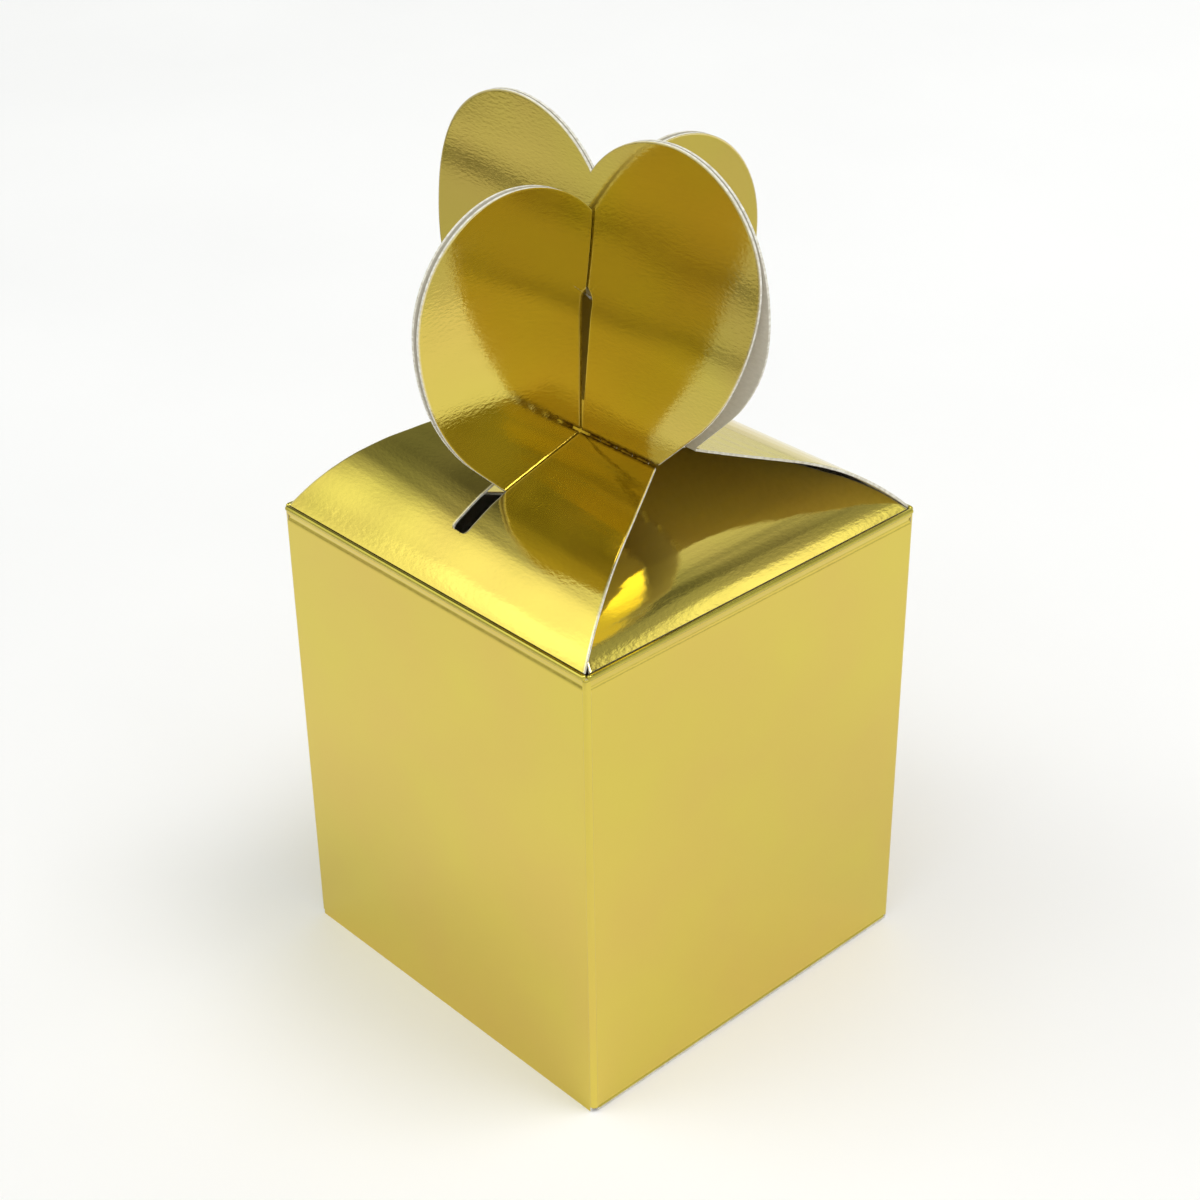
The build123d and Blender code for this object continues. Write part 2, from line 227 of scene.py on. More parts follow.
def turned(side, across, out, up):
    """Points given by distances along a side's wall, out from the middle of the box, and up."""
    turn = TURNS[side]
    along = np.array([cos(turn), sin(turn), 0])
    outward = np.array([sin(turn), -cos(turn), 0])
    across, out, up = (np.asarray(value)[..., None] for value in np.broadcast_arrays(across, out, up))
    return across * along + out * outward + up * np.array([0, 0, 1])


def cockle(across, up, slope, waves, seed):
    """Unevenness of pasted card: the sum of plane waves of those lengths, each as steep as slope, whose
    directions and phases are drawn from the seed."""
    draw = np.random.default_rng(seed)
    height = 0.0
    for wave in waves:
        angle, phase = draw.uniform(0, 2 * pi, 2)
        height = height + wave * np.sin(2 * pi * (across * cos(angle) + up * sin(angle)) / wave + phase)
    return slope * height / (2 * pi)


def card_sheet(name, points, blank, edge=None, fold=None, split=None, roll=0.0):
    """Closed sheet from a grid of points in the middle of the card, whose columns run along and rows up the
    foil side: each point moves half the card's thickness along the surface's normal, outwards for the foil
    and inwards for the board, and a strip closes every free edge, where the foil side rolls down a little.
    The split column, between the two halves of an outline, gets no faces."""
    rows, columns = points.shape[:2]
    edge = np.full((rows, columns), FAR_OFF) if edge is None else edge
    fold = np.full((rows, columns), FAR_OFF) if fold is None else fold
    order = np.arange(rows * columns).reshape(rows, columns)
    quads = np.stack([order[:-1, :-1], order[:-1, 1:], order[1:, 1:], order[1:, :-1]], axis=-1)
    if split is not None:
        quads = np.delete(quads, split, axis=1)
    quads = quads.reshape(-1, 4)
    _, first, same = np.unique(points.reshape(-1, 3).round(8), axis=0, return_index=True, return_inverse=True)
    middle, place = points.reshape(-1, 3)[first], blank.reshape(-1, 2)[first]
    rim_distance, fold_distance = edge.ravel()[first], fold.ravel()[first]
    quads = same.ravel()[quads]

    facing = np.cross(middle[quads[:, 2]] - middle[quads[:, 0]], middle[quads[:, 3]] - middle[quads[:, 1]])
    normal = np.zeros_like(middle)
    np.add.at(normal, quads, facing[:, None])
    normal /= np.linalg.norm(normal, axis=1, keepdims=True)

    count = len(middle)
    sides = np.stack([quads, np.roll(quads, -1, axis=1)], axis=-1).reshape(-1, 2)
    rim = sides[~np.isin(sides[:, 0] * count + sides[:, 1], sides[:, 1] * count + sides[:, 0])]
    foil_side = middle + normal * CARD / 2
    foil_side -= normal * (roll * np.clip(1 - rim_distance / ROLL_WIDTH, 0, 1) ** 2)[:, None]
    board_side = middle - normal * CARD / 2
    strip = np.stack([rim[:, 1], rim[:, 0], rim[:, 0] + count, rim[:, 1] + count], axis=1)
    faces = np.concatenate([quads, quads[:, ::-1] + count, strip])
    finish_of_face = np.repeat([0, 1, 2], [len(quads), len(quads), len(strip)])
    return new_piece(
        name,
        np.concatenate([foil_side, board_side]),
        faces.tolist(),
        [foil, board, cut_board],
        finish_of_face,
        np.tile(place, (2, 1)),
        np.tile(rim_distance, 2),
        np.tile(fold_distance, 2),
    )


def put_in_place(piece, body, node):
    """The piece moves with the body and stands for the CAD node, which is hidden."""
    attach(piece, body)
    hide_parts(node)


for seed, side in enumerate(TURNS):
    low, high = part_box(f"{side}_wall")
    rows = np.concatenate([
        np.linspace(low.z, high.z - PRESS_ZONE, WALL_ROWS),
        np.linspace(high.z - PRESS_ZONE, high.z, PRESS_ROWS)[1:],
    ])
    across, up = np.meshgrid(np.linspace(-WALL_HALF, WALL_HALF, WALL_COLUMNS), rows)
    middle_up, half_height = (low.z + high.z) / 2, (high.z - low.z) / 2
    held = (1 - (across / WALL_HALF) ** FOLD_HOLD) * (1 - ((up - middle_up) / half_height) ** FOLD_HOLD)
    uneven = cockle(across, up, WALL_COCKLE, WALL_WAVES, seed) * held
    pressed = PRESS_DEPTH * np.exp(-(((high.z - PRESS_BELOW - up) / PRESS_WIDTH) ** 2))
    points = turned(side, across, HINGE + uneven - pressed, up)
    wall = card_sheet(f"{side}_wall_card", points, np.dstack([across, up]))
    put_in_place(wall, "carton", f"{side}_wall")

# Corner folds: the card rolled through a right angle where two walls meet, part of the same sheet.
# The top closes in under the ends of the two roof scores.
CORNER_MIDDLE_RADIUS = HINGE - WALL_HALF
CORNERS = {
    "front": "front_right_corner",
    "right": "back_right_corner",
    "back": "back_left_corner",
    "left": "front_left_corner",
}
DOME_SHORT = 0.0001  # the top starts to close in this far below the end of the straight fold
DOME_TURN = radians(72.0)
CORNER_ROWS = 60
DOME_ROWS = 6
CORNER_COLUMNS = 13
for side, corner in CORNERS.items():
    low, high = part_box(corner)
    straight_top = high.z - DOME_SHORT
    rise = np.concatenate([np.zeros(CORNER_ROWS), np.linspace(0, DOME_TURN, DOME_ROWS + 1)[1:]])
    up = np.concatenate([np.linspace(low.z, straight_top, CORNER_ROWS), np.full(DOME_ROWS, straight_top)])
    angle, up = np.meshgrid(np.linspace(0, pi / 2, CORNER_COLUMNS), up + CORNER_MIDDLE_RADIUS * np.sin(rise))
    radius = CORNER_MIDDLE_RADIUS * np.cos(rise)[:, None]
    across = WALL_HALF + radius * np.sin(angle)
    out = WALL_HALF + radius * np.cos(angle)
    blank = np.dstack([WALL_HALF + CORNER_MIDDLE_RADIUS * angle, up])
    corner_fold = card_sheet(f"{corner}_card", turned(side, across, out, up), blank)
    put_in_place(corner_fold, "carton", corner)

# Glue flap: the narrow end of the blank, pasted foil side out against the inside of the back wall to
# close the sleeve. Its free corners are cut round.
GLUE_ROUND = 0.004
GLUE_COLUMNS = 24
low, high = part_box("glue_flap")
round_up = GLUE_ROUND * (1 - np.cos(np.linspace(0, pi / 2, 10)))
up = np.concatenate([
    low.z + round_up,
    np.linspace(low.z + GLUE_ROUND, high.z - GLUE_ROUND, 40)[1:-1],
    high.z - round_up[::-1],
])
into_round = np.clip(GLUE_ROUND - np.minimum(up - low.z, high.z - up), 0, GLUE_ROUND)
free_edge = -high.x + GLUE_ROUND - np.sqrt(GLUE_ROUND**2 - into_round**2)
share = np.linspace(0, 1, GLUE_COLUMNS)
across = free_edge[:, None] + share * (-low.x - free_edge)[:, None]
up = np.repeat(up[:, None], GLUE_COLUMNS, axis=1)
glue = card_sheet("glue_flap_card", turned("back", across, (low.y + high.y) / 2, up), np.dstack([across, up]))
put_in_place(glue, "carton", "glue_flap")

# Roof scores: the card pressed into a narrow round bead along the top of each wall, on which a roof flap
# turns. The foil over it is painted darker, as shade in the crease; the side that faces into the box is bare
# board.
# painted shade: the score's foil is darker than the sheet's, for the shade in the crease
SCORE_SHADE_LIGHT = (0.60, 0.50, 0.09, 1)
SCORE_SHADE_DEEP = (0.44, 0.37, 0.06, 1)
SCORE_POLISH = (0.10, 0.20)
SCORE_GRAIN_DEPTH = 1.2e-5
BEAD_SIDES = 28
BEAD_WAVE = 0.013
BEAD_UNEVEN = 0.03  # share of the radius that the pressing loses along the bead
BEAD_STEP = 0.0008
BEAD_TIP = 0.12  # angle at which a rounded end stops short of a point
BARE_TURN = pi / 3  # bare board reaches this far round to each side of the angle that faces inwards
score_shade_foil = foil_finish("score_shade_foil", SCORE_SHADE_LIGHT, SCORE_SHADE_DEEP, SCORE_POLISH, SCORE_GRAIN_DEPTH, FOIL_DRIFT)


def bead_surface(side, out, height, radius, first, last, seed):
    """Round bar along a fold from first to last, with rounded ends: at each place a circle of the bar's
    radius, which falls off over a quarter circle at either end. Returns points, faces, end caps, the angle of
    each face round the bar and the points' place on the blank."""
    close = np.linspace(BEAD_TIP, pi / 2, 7)
    steps = max(4, int((last - first) / BEAD_STEP))
    straight = np.linspace(first + radius, last - radius, steps)[1:-1]
    end = radius * (1 - np.cos(close))
    along = np.concatenate([first + end, straight, (last - end)[::-1]])
    full = np.concatenate([np.sin(close), np.ones(len(straight)), np.sin(close)[::-1]])
    uneven = 1 - BEAD_UNEVEN * (0.5 + 0.5 * np.sin(2 * pi * along / BEAD_WAVE + seed))
    size = radius * full * uneven
    angle = np.linspace(0, 2 * pi, BEAD_SIDES, endpoint=False)[:, None]
    points = turned(side, along[None], out + size * np.cos(angle), height + size * np.sin(angle))
    order = np.arange(points.shape[0] * points.shape[1]).reshape(points.shape[:2])
    next_row = np.roll(order, -1, axis=0)
    quads = np.stack([order[:, :-1], order[:, 1:], next_row[:, 1:], next_row[:, :-1]], axis=-1).reshape(-1, 4)
    caps = [order[:, 0].tolist(), order[::-1, -1].tolist()]
    middle_angle = np.repeat(angle.ravel() + pi / BEAD_SIDES, len(along) - 1)
    blank = np.dstack(np.broadcast_arrays(along[None], radius * angle))
    return points.reshape(-1, 3), quads, caps, middle_angle, blank.reshape(-1, 2)


def score_bead(name, bars, inner_angle, finish):
    """One piece of several round bars, with bare board on the third of each that faces inner_angle."""
    vertices, faces, finishes, blanks, base = [], [], [], [], 0
    for points, quads, caps, angle, blank in bars:
        vertices.append(points)
        blanks.append(blank)
        faces += (quads + base).tolist() + [[base + corner for corner in cap] for cap in caps]
        finishes += np.where(np.cos(angle - inner_angle) > cos(BARE_TURN), 1, 0).tolist() + [0, 0]
        base += len(points)
    vertices, blanks = np.concatenate(vertices), np.concatenate(blanks)
    far_off = np.full(base, FAR_OFF)
    return new_piece(name, vertices, faces, [finish, board], finishes, blanks, far_off, far_off)


INTO_THE_BOX = 1.25 * pi  # inwards and down, as an angle from straight out
BEAD_SHORT = 0.00015  # a bead's rounded end stops this far from the line of the next wall
crease_low, crease_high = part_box("front_roof_crease")
CREASE_RADIUS = (crease_high.z - crease_low.z) / 2
WALL_TOP = (crease_high.z + crease_low.z) / 2
bead_half = HINGE - BEAD_SHORT
for seed, side in enumerate(TURNS):
    bar = bead_surface(side, HINGE, WALL_TOP, CREASE_RADIUS, -bead_half, bead_half, seed)
    bead = score_bead(f"{side}_roof_score", [bar], INTO_THE_BOX, score_shade_foil)
    put_in_place(bead, "carton", f"{side}_roof_crease")

# Upper roof flaps, front and back: the card leaves the wall steeply, bends over and runs straight to the
# heart fold. A die-cut slot up the middle takes the lower hearts; the side edges are cut, and show white.
HINGE_GAP = 0.0001
UPPER_BEND = 0.032
UPPER_START = radians(50.0)
UPPER_END = radians(16.5)
UPPER_BASE_INSET = 0.0007  # side edge to the box corner, at the wall
SLOT_START = 0.0066  # wall score to the outer end of the slot, seen from above
SLOT_WIDTH = 0.0029
SLOT_ROUND = 0.0008
SLOT_SHIFT = 0.0006  # the lower hearts lie against the right side of the slot
CUT_ROLL = 0.00005  # how far the die presses the foil side down at a cut edge
ROOF_COCKLE = 0.006
ROOF_WAVES = (0.013, 0.021, 0.034)
ROOF_STREAK = 0.015  # slope of the streaks that the roller leaves along the bend
STREAK_WAVES = (0.0015, 0.0024, 0.0042, 0.0065)
STREAK_STRETCH = 14  # a streak is this many times as long as it is wide
SETTLE = 0.004  # unevenness dies away over this distance from a fold
COLUMNS = 44  # of the grid, in each half of a flap or heart
fold_low, fold_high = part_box("front_heart_fold")
FOLD_RADIUS = (fold_high.z - fold_low.z) / 2
UPPER_FOLD_OUT = -(fold_low.y + fold_high.y) / 2
UPPER_FOLD_UP = (fold_low.z + fold_high.z) / 2
FOLD_LENGTH = 0.0316


def roof_rise(inward, bend, start, end):
    """Height of a roof flap above its score, and its slope: an arc from the start to the end angle, whose
    sine falls evenly with the distance inwards, and then a straight run."""
    slope = np.arcsin(np.maximum(sin(start) - inward / bend, sin(end)))
    run = bend * (sin(start) - np.sin(slope))
    return bend * (np.cos(slope) - cos(start)) + (inward - run) * tan(end), slope


def along_path(path, fraction):
    """Points at those fractions of a path's length."""
    length = np.concatenate([[0], np.cumsum(np.hypot(*np.diff(path, axis=0).T))])
    return np.stack([np.interp(fraction * length[-1], length, path[:, axis]) for axis in (0, 1)], axis=1)


def half_sheet(inner, outer):
    """Right half of a flat outline, filled with a grid: the row at each point of the inner edge runs straight
    to the point at the same fraction of the outer edge, closer set at both. Returns the points and the
    distance of each from a cut edge."""
    length = np.concatenate([[0], np.cumsum(np.hypot(*np.diff(inner, axis=0).T))])
    reach = along_path(outer, length / length[-1]) - inner
    share = (1 - np.cos(np.linspace(0, pi, COLUMNS))) / 2
    span = np.hypot(*reach.T)[:, None]
    from_slot = np.where(inner[:, :1] > 0, share * span, FAR_OFF)
    return inner[:, None] + share[None, :, None] * reach[:, None], np.minimum((1 - share) * span, from_slot)


def two_halves(left_inner, right_inner, outer):
    """Whole outline: the right half, and the left half mirrored from its own inner edge."""
    left, left_edge = half_sheet(left_inner, outer)
    right, right_edge = half_sheet(right_inner, outer)
    points = np.concatenate([left[:, ::-1] * np.array([-1, 1]), right], axis=1)
    return points, np.concatenate([left_edge[:, ::-1], right_edge], axis=1)


def arc(middle, radius, first, last, count):
    """Points on a circle from the first to the last angle."""
    angle = np.linspace(first, last, count)
    return np.stack([middle[0] + radius * np.cos(angle), middle[1] + radius * np.sin(angle)], axis=1)


def roof_flap(side, outline, edge, bend, start, end, seed):
    """Arched sheet over a flat outline of (along, inward) points, with ripples that run along the bend."""
    across, inward = outline[..., 0], outline[..., 1]
    rise, slope = roof_rise(inward, bend, start, end)
    ripple = cockle(across, inward, ROOF_COCKLE, ROOF_WAVES, seed)
    ripple = ripple + cockle(across / STREAK_STRETCH, inward, ROOF_STREAK, STREAK_WAVES, seed + 1)
    ripple = ripple * np.clip(np.minimum(inward, HINGE - inward) / SETTLE, 0, 1)
    out = HINGE - inward + ripple * np.sin(slope)
    points = turned(side, across, out, WALL_TOP + rise + ripple * np.cos(slope))
    from_fold = inward.max() - inward
    return card_sheet(f"{side}_roof_card", points, outline, edge, from_fold, COLUMNS - 1, CUT_ROLL)


def roof_ends(bend_start, bend_end, fold_out):
    """Where a roof flap's card starts beside the score bead and stops at the heart fold, seen from above."""
    return (CREASE_RADIUS + HINGE_GAP) * cos(bend_start), HINGE - fold_out - FOLD_RADIUS * cos(bend_end)


def taper(inward, base_inset, fold_out, fold_half):
    """Half width of a roof flap, which narrows evenly from the wall to the heart fold."""
    base = WALL_HALF + CORNER_MIDDLE_RADIUS + CARD / 2 - base_inset
    return base - (base - fold_half) * inward / (HINGE - fold_out)


def roof_slot(first, last, half):
    """Inner edge of half a slotted flap: up the middle to the slot, round its corner and along its side."""
    turn = (half - SLOT_ROUND, SLOT_START + SLOT_ROUND)
    return np.concatenate([
        np.linspace((0, first), (0, SLOT_START), 34),
        arc(turn, SLOT_ROUND, -pi / 2, 0, 9),
        np.linspace((half, SLOT_START + SLOT_ROUND), (half, last), 90)[1:],
    ])


first, last = roof_ends(UPPER_START, UPPER_END, UPPER_FOLD_OUT)
near_half, far_half = SLOT_WIDTH / 2 - SLOT_SHIFT, SLOT_WIDTH / 2 + SLOT_SHIFT
ends = np.array([first, last])
outer = np.stack([taper(ends, UPPER_BASE_INSET, UPPER_FOLD_OUT, FOLD_LENGTH / 2), ends], axis=1)
near, far = roof_slot(first, last, near_half), roof_slot(first, last, far_half)
for seed, side in enumerate(("front", "back")):
    outline, edge = two_halves(far, near, outer) if side == "front" else two_halves(near, far, outer)
    flap = roof_flap(side, outline, edge, UPPER_BEND, UPPER_START, UPPER_END, 10 + 2 * seed)
    put_in_place(flap, f"{side}_flap", f"{side}_roof")

# Lower roof flaps, right and left: flatter arches that lie under the upper pair, with no slot. Their side
# edges run where the upper flaps' undersides come down on them.
LOWER_BEND = 0.024
LOWER_START = radians(36.0)
LOWER_END = radians(9.0)
LOWER_BASE_INSET = 0.0009
ROOF_GAP = 0.00006
LOWER_TRIM = 0.0013  # each side edge is trimmed back by this at the fold, to lie under the slot's end
LOWER_ROWS = 120
fold_low, fold_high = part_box("right_heart_fold")
LOWER_FOLD_OUT = (fold_low.x + fold_high.x) / 2
LOWER_FOLD_UP = (fold_low.z + fold_high.z) / 2

first, last = roof_ends(LOWER_START, LOWER_END, LOWER_FOLD_OUT)
inward = np.linspace(first, last, LOWER_ROWS)
over = np.linspace(0, HINGE, 400)
over_rise, over_slope = roof_rise(over, UPPER_BEND, UPPER_START, UPPER_END)
underside = over_rise - (CARD / 2 + ROOF_GAP) / np.cos(over_slope)
own_rise, own_slope = roof_rise(inward, LOWER_BEND, LOWER_START, LOWER_END)
own_top = own_rise + CARD / 2 / np.cos(own_slope)
under_edge = HINGE - np.interp(own_top, underside, over)
half = taper(inward, LOWER_BASE_INSET, LOWER_FOLD_OUT, FOLD_LENGTH / 2 - LOWER_TRIM)
outer = np.stack([np.minimum(half, under_edge), inward], axis=1)
middle_line = np.linspace((0, first), (0, last), LOWER_ROWS)
outline, edge = two_halves(middle_line, middle_line, outer)
for seed, side in enumerate(("right", "left")):
    flap = roof_flap(side, outline, edge, LOWER_BEND, LOWER_START, LOWER_END, 20 + 2 * seed)
    put_in_place(flap, f"{side}_flap", f"{side}_roof")

# Heart folds: each heart bends up from its roof flap along a row of die-cut perforations. Short card
# bridges are left between the cuts, four on each side of the middle.
BRIDGE = 0.0022
PERFORATION = 0.001
BRIDGES = 4  # on each side
FOLDS = {
    "front": (UPPER_FOLD_OUT, UPPER_FOLD_UP),
    "right": (LOWER_FOLD_OUT, LOWER_FOLD_UP),
    "back": (UPPER_FOLD_OUT, UPPER_FOLD_UP),
    "left": (LOWER_FOLD_OUT, LOWER_FOLD_UP),
}
# Painted shade: the bridges' foil is cracked and darkened to stand for the shade in the fold's crease.
CRACKED_SHADE_LIGHT = (0.40, 0.25, 0.04, 1)
CRACKED_SHADE_DEEP = (0.06, 0.03, 0.008, 1)
CRACKED_POLISH = (0.22, 0.45)
CRACKED_GRAIN_DEPTH = 5e-5
CRACKED_DRIFT = 0.0011
cracked_shade_foil = foil_finish(
    "cracked_shade_foil", CRACKED_SHADE_LIGHT, CRACKED_SHADE_DEEP, CRACKED_POLISH, CRACKED_GRAIN_DEPTH, CRACKED_DRIFT
)
starts = SLOT_WIDTH / 2 + PERFORATION + (BRIDGE + PERFORATION) * np.arange(BRIDGES)
starts = np.concatenate([starts, -starts - BRIDGE])
for side, (out, height) in FOLDS.items():
    bars = [bead_surface(side, out, height, FOLD_RADIUS, start, start + BRIDGE, 0) for start in starts]
    bridges = score_bead(f"{side}_heart_bridges", bars, INTO_THE_BOX, cracked_shade_foil)
    put_in_place(bridges, f"{side}_flap", f"{side}_heart_fold")

# Upper hearts, front and back: cut with a straight flank, a round lobe and a notch, foil outside and white
# inside. They lean in from their folds and bow over until they lie together at the top, and the slot goes on
# up their middle, where they bulge apart.
HEART_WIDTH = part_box("front_heart")[1].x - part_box("front_heart")[0].x
WIDEST_UP = 0.0282
LOBE_RADIUS = 0.0168
NOTCH_UP = 0.0376
FLANK_ANGLE = radians(44.5)  # of the straight flank at the foot, above the fold line
PAIR_GAP = 0.0006  # between the two upper hearts where they meet
SLOT_UP = 0.0215
SLOT_SPREAD = 0.0019  # half of the slot near its top
LAST_ROW = 0.006  # the grid's last row is this long, down from the notch
HEART_COCKLE = 0.004
HEART_WAVES = (0.012, 0.019, 0.031)
CURVE_POINTS = 60  # in each curve of a heart's outline
HEART_FOOT = FOLD_RADIUS + HINGE_GAP
TOUCH_GAP = 0.00025  # between the two upper hearts where the slit pinches them together
BOW_FROM = 0.016  # height at which an upper heart starts to bow in to its twin, and where they lie together
BOW_TO = 0.037
PEAK_UP = WIDEST_UP + LOBE_RADIUS
UPPER_LEAN = asin((UPPER_FOLD_OUT - CARD / 2 - PAIR_GAP / 2) / PEAK_UP)

flank_turn = pi / 2 - FLANK_ANGLE
flank_run = (HEART_WIDTH - FOLD_LENGTH) / 2
flank_radius = (WIDEST_UP * sin(flank_turn) - flank_run * cos(flank_turn)) / (1 - cos(flank_turn))
peak_along = HEART_WIDTH / 2 - LOBE_RADIUS
notch_drop = PEAK_UP - NOTCH_UP
shoulder_radius = (peak_along**2 + notch_drop**2) / (2 * notch_drop)
notch_turn = pi - asin((shoulder_radius - notch_drop) / shoulder_radius)
flank = arc((HEART_WIDTH / 2 - flank_radius, WIDEST_UP), flank_radius, -flank_turn, 0, CURVE_POINTS)
lobe = arc((peak_along, WIDEST_UP), LOBE_RADIUS, 0, pi / 2, CURVE_POINTS)
shoulder = arc((peak_along, PEAK_UP - shoulder_radius), shoulder_radius, pi / 2, notch_turn, CURVE_POINTS)
foot = (FOLD_LENGTH / 2 + HEART_FOOT / tan(FLANK_ANGLE), HEART_FOOT)


def upper_out(up):
    """Middle of an upper heart's card from the middle of the box: it leans straight in from the fold, then
    bows over smoothly until it lies against its twin."""
    share = np.clip((up - BOW_FROM) / (BOW_TO - BOW_FROM), 0, 1)
    share = share**2 * (3 - 2 * share)
    return (UPPER_FOLD_OUT - up * sin(UPPER_LEAN)) * (1 - share) + (CARD + TOUCH_GAP) / 2 * share


def heart_card(side, outline, edge, out, fold_up, lean, seed):
    """Sheet over a flat heart outline of (along, up) points, standing on its fold at that distance out."""
    across, up = outline[..., 0], outline[..., 1]
    uneven = cockle(across, up, HEART_COCKLE, HEART_WAVES, seed) * np.clip(up / SETTLE, 0, 1)
    points = turned(side, across, out + uneven, fold_up + up * cos(lean))
    return card_sheet(f"{side}_heart_card", points, outline, edge, up - HEART_FOOT, COLUMNS - 1, CUT_ROLL)


def heart_slot(foot_half, top_half):
    """Inner edge of half an upper heart: up the slot's side, round its end and on up the middle."""
    turn = (0, SLOT_UP - top_half)
    return np.concatenate([
        np.linspace((foot_half, HEART_FOOT), (top_half, turn[1]), 70)[:-1],
        arc(turn, top_half, 0, pi / 2, 17),
        np.linspace((0, SLOT_UP), (0, NOTCH_UP - LAST_ROW), 40)[1:],
    ])


outer = np.concatenate([[foot], flank, lobe[1:], shoulder[1:]])
near, far = heart_slot(near_half, SLOT_SPREAD), heart_slot(far_half, SLOT_SPREAD)
for seed, side in enumerate(("front", "back")):
    outline, edge = two_halves(far, near, outer) if side == "front" else two_halves(near, far, outer)
    out = upper_out(outline[..., 1])
    heart = heart_card(side, outline, edge, out, UPPER_FOLD_UP, UPPER_LEAN, 30 + seed)
    put_in_place(heart, f"{side}_heart_panel", f"{side}_heart")

# Lower hearts, right and left: the same cut, standing upright back to back in the slot. Instead of the slot
# they have a slit, from the notch down past the slot's end, that takes the upper hearts.
SLIT_OVERLAP = 0.0025
SLIT_CLEAR = 0.00025
slit_foot = UPPER_FOLD_UP + SLOT_UP * cos(UPPER_LEAN) - SLIT_OVERLAP - LOWER_FOLD_UP


def slit_half(up):
    """Half of the slit's width: the outer faces of the upper hearts at that height, and the clearance."""
    above = (up + LOWER_FOLD_UP - UPPER_FOLD_UP) / cos(UPPER_LEAN)
    return upper_out(above) + CARD / 2 + SLIT_CLEAR


past_slit = shoulder[:, 0] - slit_half(shoulder[:, 1])
shoulder_end = [np.interp(0, past_slit[::-1], shoulder[::-1, axis]) for axis in (0, 1)]
slit_round = slit_half(slit_foot + slit_half(slit_foot))
slit_turn = (0, slit_foot + slit_round)
slit_last = shoulder_end[1] - LAST_ROW / 2
slit_up = np.linspace(slit_turn[1], slit_last, 40)[1:]
inner = np.concatenate([
    np.linspace((0, HEART_FOOT), (0, slit_foot), 60)[:-1],
    arc(slit_turn, slit_round, -pi / 2, 0, 21),
    np.stack([slit_half(slit_up), slit_up], axis=1),
])
outer = np.concatenate([[foot], flank, lobe[1:], shoulder[past_slit > 0][1:], [shoulder_end]])
outline, edge = two_halves(inner, inner, outer)
for seed, side in enumerate(("right", "left")):
    heart = heart_card(side, outline, edge, LOWER_FOLD_OUT, LOWER_FOLD_UP, 0.0, 40 + seed)
    put_in_place(heart, f"{side}_heart_panel", f"{side}_heart")

# Bottom: a panel scored on to the foot of the back wall, with a tuck flap that stands inside the front wall.
# Foil is outside, underneath; the two folds are fine round scores.
TUCK_HEIGHT = 0.014
TUCK_LEAN = radians(14.0)
TUCK_ROUND = 0.008
TUCK_COLUMNS = 60
PANEL_STEPS = 70
low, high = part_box("bottom_crease")
bar = bead_surface("back", HINGE, (low.z + high.z) / 2, FOLD_RADIUS, low.x, high.x, 0)
bead = score_bead("bottom_score", [bar], INTO_THE_BOX - pi / 2, score_shade_foil)
put_in_place(bead, "carton", "bottom_crease")
low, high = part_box("tuck_crease")
TUCK_OUT = -(low.y + high.y) / 2
TUCK_FOLD_UP = (low.z + high.z) / 2
bar = bead_surface("front", TUCK_OUT, TUCK_FOLD_UP, FOLD_RADIUS, low.x, high.x, 0)
bead = score_bead("tuck_score", [bar], INTO_THE_BOX - pi / 2, score_shade_foil)
put_in_place(bead, "bottom", "tuck_crease")
tuck_half = high.x

low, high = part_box("bottom_panel")
across, back = np.meshgrid(np.linspace(low.x, high.x, PANEL_STEPS), np.linspace(high.y, low.y, PANEL_STEPS))
points = np.dstack([across, back, np.full_like(across, (low.z + high.z) / 2)])
bottom = card_sheet("bottom_panel_card", points, np.dstack([across, -back]))
put_in_place(bottom, "bottom", "bottom_panel")

turn_in = np.linspace(0, pi / 2, 16)
up = np.concatenate([
    np.linspace(HEART_FOOT, TUCK_HEIGHT - TUCK_ROUND, 12)[:-1],
    TUCK_HEIGHT - TUCK_ROUND + TUCK_ROUND * np.sin(turn_in),
])
into_round = np.clip(up - TUCK_HEIGHT + TUCK_ROUND, 0, None)
half = tuck_half - TUCK_ROUND + np.sqrt(TUCK_ROUND**2 - into_round**2)
across = half[:, None] * np.linspace(-1, 1, TUCK_COLUMNS)
up = np.repeat(up[:, None], TUCK_COLUMNS, axis=1)
points = turned("front", across, TUCK_OUT - up * sin(TUCK_LEAN), TUCK_FOLD_UP + up * cos(TUCK_LEAN))
tuck = card_sheet("tuck_flap_card", points, np.dstack([across, up]))
put_in_place(tuck, "tuck", "tuck_flap")

